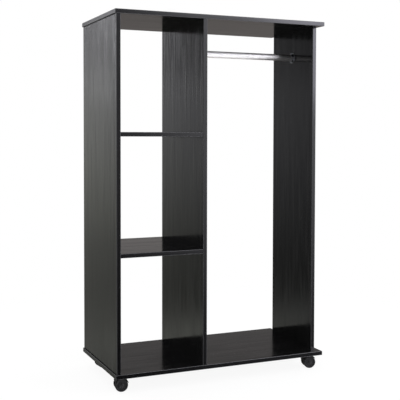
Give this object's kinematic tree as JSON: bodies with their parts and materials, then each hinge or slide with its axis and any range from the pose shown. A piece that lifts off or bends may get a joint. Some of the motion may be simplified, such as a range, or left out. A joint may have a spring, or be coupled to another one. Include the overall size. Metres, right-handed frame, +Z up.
{
  "type": "wardrobe",
  "caption": "Open mobile wardrobe in black wood-grain board: a shelf bay beside a hanging bay with a chrome rail, standing on twin-wheel swivel casters.",
  "frame": {"origin": "on the floor, under the middle of the wardrobe's box", "axes": "+Z up, +X along the width with the shelf bay at -X and the hanging bay at +X, -Y towards the front"},
  "size_m": [0.8, 0.4, 1.28],
  "materials": {
    "laminate_board": "particleboard with a black embossed wood-grain laminate and black edge bands, satin",
    "chrome_tube": "bright chrome plate on drawn steel tube",
    "chrome_flange": "chrome plate on die-cast metal",
    "zinc_steel": "zinc-plated steel",
    "black_steel_plate": "black passivated pressed steel",
    "caster_plastic": "black moulded plastic",
    "wheel_plastic": "black moulded plastic, slightly worn tread"
  },
  "bodies": {
    "cabinet": {"top_panel": "laminate_board", "base_panel": "laminate_board", "left_side_panel": "laminate_board", "divider_panel": "laminate_board", "right_side_panel": "laminate_board", "lower_shelf": "laminate_board", "upper_shelf": "laminate_board", "long_screw_left_front": "zinc_steel", "long_screw_left_rear": "zinc_steel", "long_screw_divider_front": "zinc_steel", "long_screw_divider_rear": "zinc_steel", "long_screw_right_front": "zinc_steel", "long_screw_right_rear": "zinc_steel", "hanging_rail": "chrome_tube", "rail_flange_left": "chrome_flange", "rail_flange_right": "chrome_flange", "flange_screw_left_upper": "zinc_steel", "flange_screw_left_lower": "zinc_steel", "flange_screw_right_upper": "zinc_steel", "flange_screw_right_lower": "zinc_steel", "caster_plate_front_left": "black_steel_plate", "caster_plate_front_right": "black_steel_plate", "caster_plate_rear_left": "black_steel_plate", "caster_plate_rear_right": "black_steel_plate", "swivel_pin_front_left": "zinc_steel", "swivel_pin_front_right": "zinc_steel", "swivel_pin_rear_left": "zinc_steel", "swivel_pin_rear_right": "zinc_steel", "caster_screw_front_left_1": "zinc_steel", "caster_screw_front_left_2": "zinc_steel", "caster_screw_front_left_3": "zinc_steel", "caster_screw_front_left_4": "zinc_steel", "caster_screw_front_right_1": "zinc_steel", "caster_screw_front_right_2": "zinc_steel", "caster_screw_front_right_3": "zinc_steel", "caster_screw_front_right_4": "zinc_steel", "caster_screw_rear_left_1": "zinc_steel", "caster_screw_rear_left_2": "zinc_steel", "caster_screw_rear_left_3": "zinc_steel", "caster_screw_rear_left_4": "zinc_steel", "caster_screw_rear_right_1": "zinc_steel", "caster_screw_rear_right_2": "zinc_steel", "caster_screw_rear_right_3": "zinc_steel", "caster_screw_rear_right_4": "zinc_steel"},
    "caster_front_left": {"caster_fork_front_left": "caster_plastic", "caster_axle_front_left": "zinc_steel"},
    "caster_front_right": {"caster_fork_front_right": "caster_plastic", "caster_axle_front_right": "zinc_steel"},
    "caster_rear_left": {"caster_fork_rear_left": "caster_plastic", "caster_axle_rear_left": "zinc_steel"},
    "caster_rear_right": {"caster_fork_rear_right": "caster_plastic", "caster_axle_rear_right": "zinc_steel"},
    "wheel_front_left_front": {"caster_wheel_front_left_front": "wheel_plastic"},
    "wheel_front_left_back": {"caster_wheel_front_left_back": "wheel_plastic"},
    "wheel_front_right_front": {"caster_wheel_front_right_front": "wheel_plastic"},
    "wheel_front_right_back": {"caster_wheel_front_right_back": "wheel_plastic"},
    "wheel_rear_left_front": {"caster_wheel_rear_left_front": "wheel_plastic"},
    "wheel_rear_left_back": {"caster_wheel_rear_left_back": "wheel_plastic"},
    "wheel_rear_right_front": {"caster_wheel_rear_right_front": "wheel_plastic"},
    "wheel_rear_right_back": {"caster_wheel_rear_right_back": "wheel_plastic"}
  },
  "joints": [
    {"name": "swivel_front_left", "type": "hinge", "parent": "cabinet", "child": "caster_front_left", "pos_m": [-0.354, -0.152, 0.04], "axis": [0, 0, 1], "continuous": true},
    {"name": "swivel_front_right", "type": "hinge", "parent": "cabinet", "child": "caster_front_right", "pos_m": [0.354, -0.152, 0.04], "axis": [0, 0, 1], "continuous": true},
    {"name": "swivel_rear_left", "type": "hinge", "parent": "cabinet", "child": "caster_rear_left", "pos_m": [-0.354, 0.152, 0.04], "axis": [0, 0, 1], "continuous": true},
    {"name": "swivel_rear_right", "type": "hinge", "parent": "cabinet", "child": "caster_rear_right", "pos_m": [0.354, 0.152, 0.04], "axis": [0, 0, 1], "continuous": true},
    {"name": "roll_front_left_front", "type": "hinge", "parent": "caster_front_left", "child": "wheel_front_left_front", "pos_m": [-0.36687, -0.15019, 0.02231], "axis": [0.1392, 0.9903, 0], "continuous": true},
    {"name": "roll_front_left_back", "type": "hinge", "parent": "caster_front_left", "child": "wheel_front_left_back", "pos_m": [-0.36687, -0.15019, 0.02231], "axis": [0.1392, 0.9903, 0], "continuous": true},
    {"name": "roll_front_right_front", "type": "hinge", "parent": "caster_front_right", "child": "wheel_front_right_front", "pos_m": [0.36672, -0.1547, 0.02231], "axis": [-0.2079, -0.9781, 0], "continuous": true},
    {"name": "roll_front_right_back", "type": "hinge", "parent": "caster_front_right", "child": "wheel_front_right_back", "pos_m": [0.36672, -0.1547, 0.02231], "axis": [-0.2079, -0.9781, 0], "continuous": true},
    {"name": "roll_rear_left_front", "type": "hinge", "parent": "caster_rear_left", "child": "wheel_rear_left_front", "pos_m": [-0.3411, 0.15358, 0.02231], "axis": [0.1219, -0.9925, 0], "continuous": true},
    {"name": "roll_rear_left_back", "type": "hinge", "parent": "caster_rear_left", "child": "wheel_rear_left_back", "pos_m": [-0.3411, 0.15358, 0.02231], "axis": [0.1219, -0.9925, 0], "continuous": true},
    {"name": "roll_rear_right_front", "type": "hinge", "parent": "caster_rear_right", "child": "wheel_rear_right_front", "pos_m": [0.36578, 0.14651, 0.02231], "axis": [-0.4226, -0.9063, 0], "continuous": true},
    {"name": "roll_rear_right_back", "type": "hinge", "parent": "caster_rear_right", "child": "wheel_rear_right_back", "pos_m": [0.36578, 0.14651, 0.02231], "axis": [-0.4226, -0.9063, 0], "continuous": true}
  ]
}
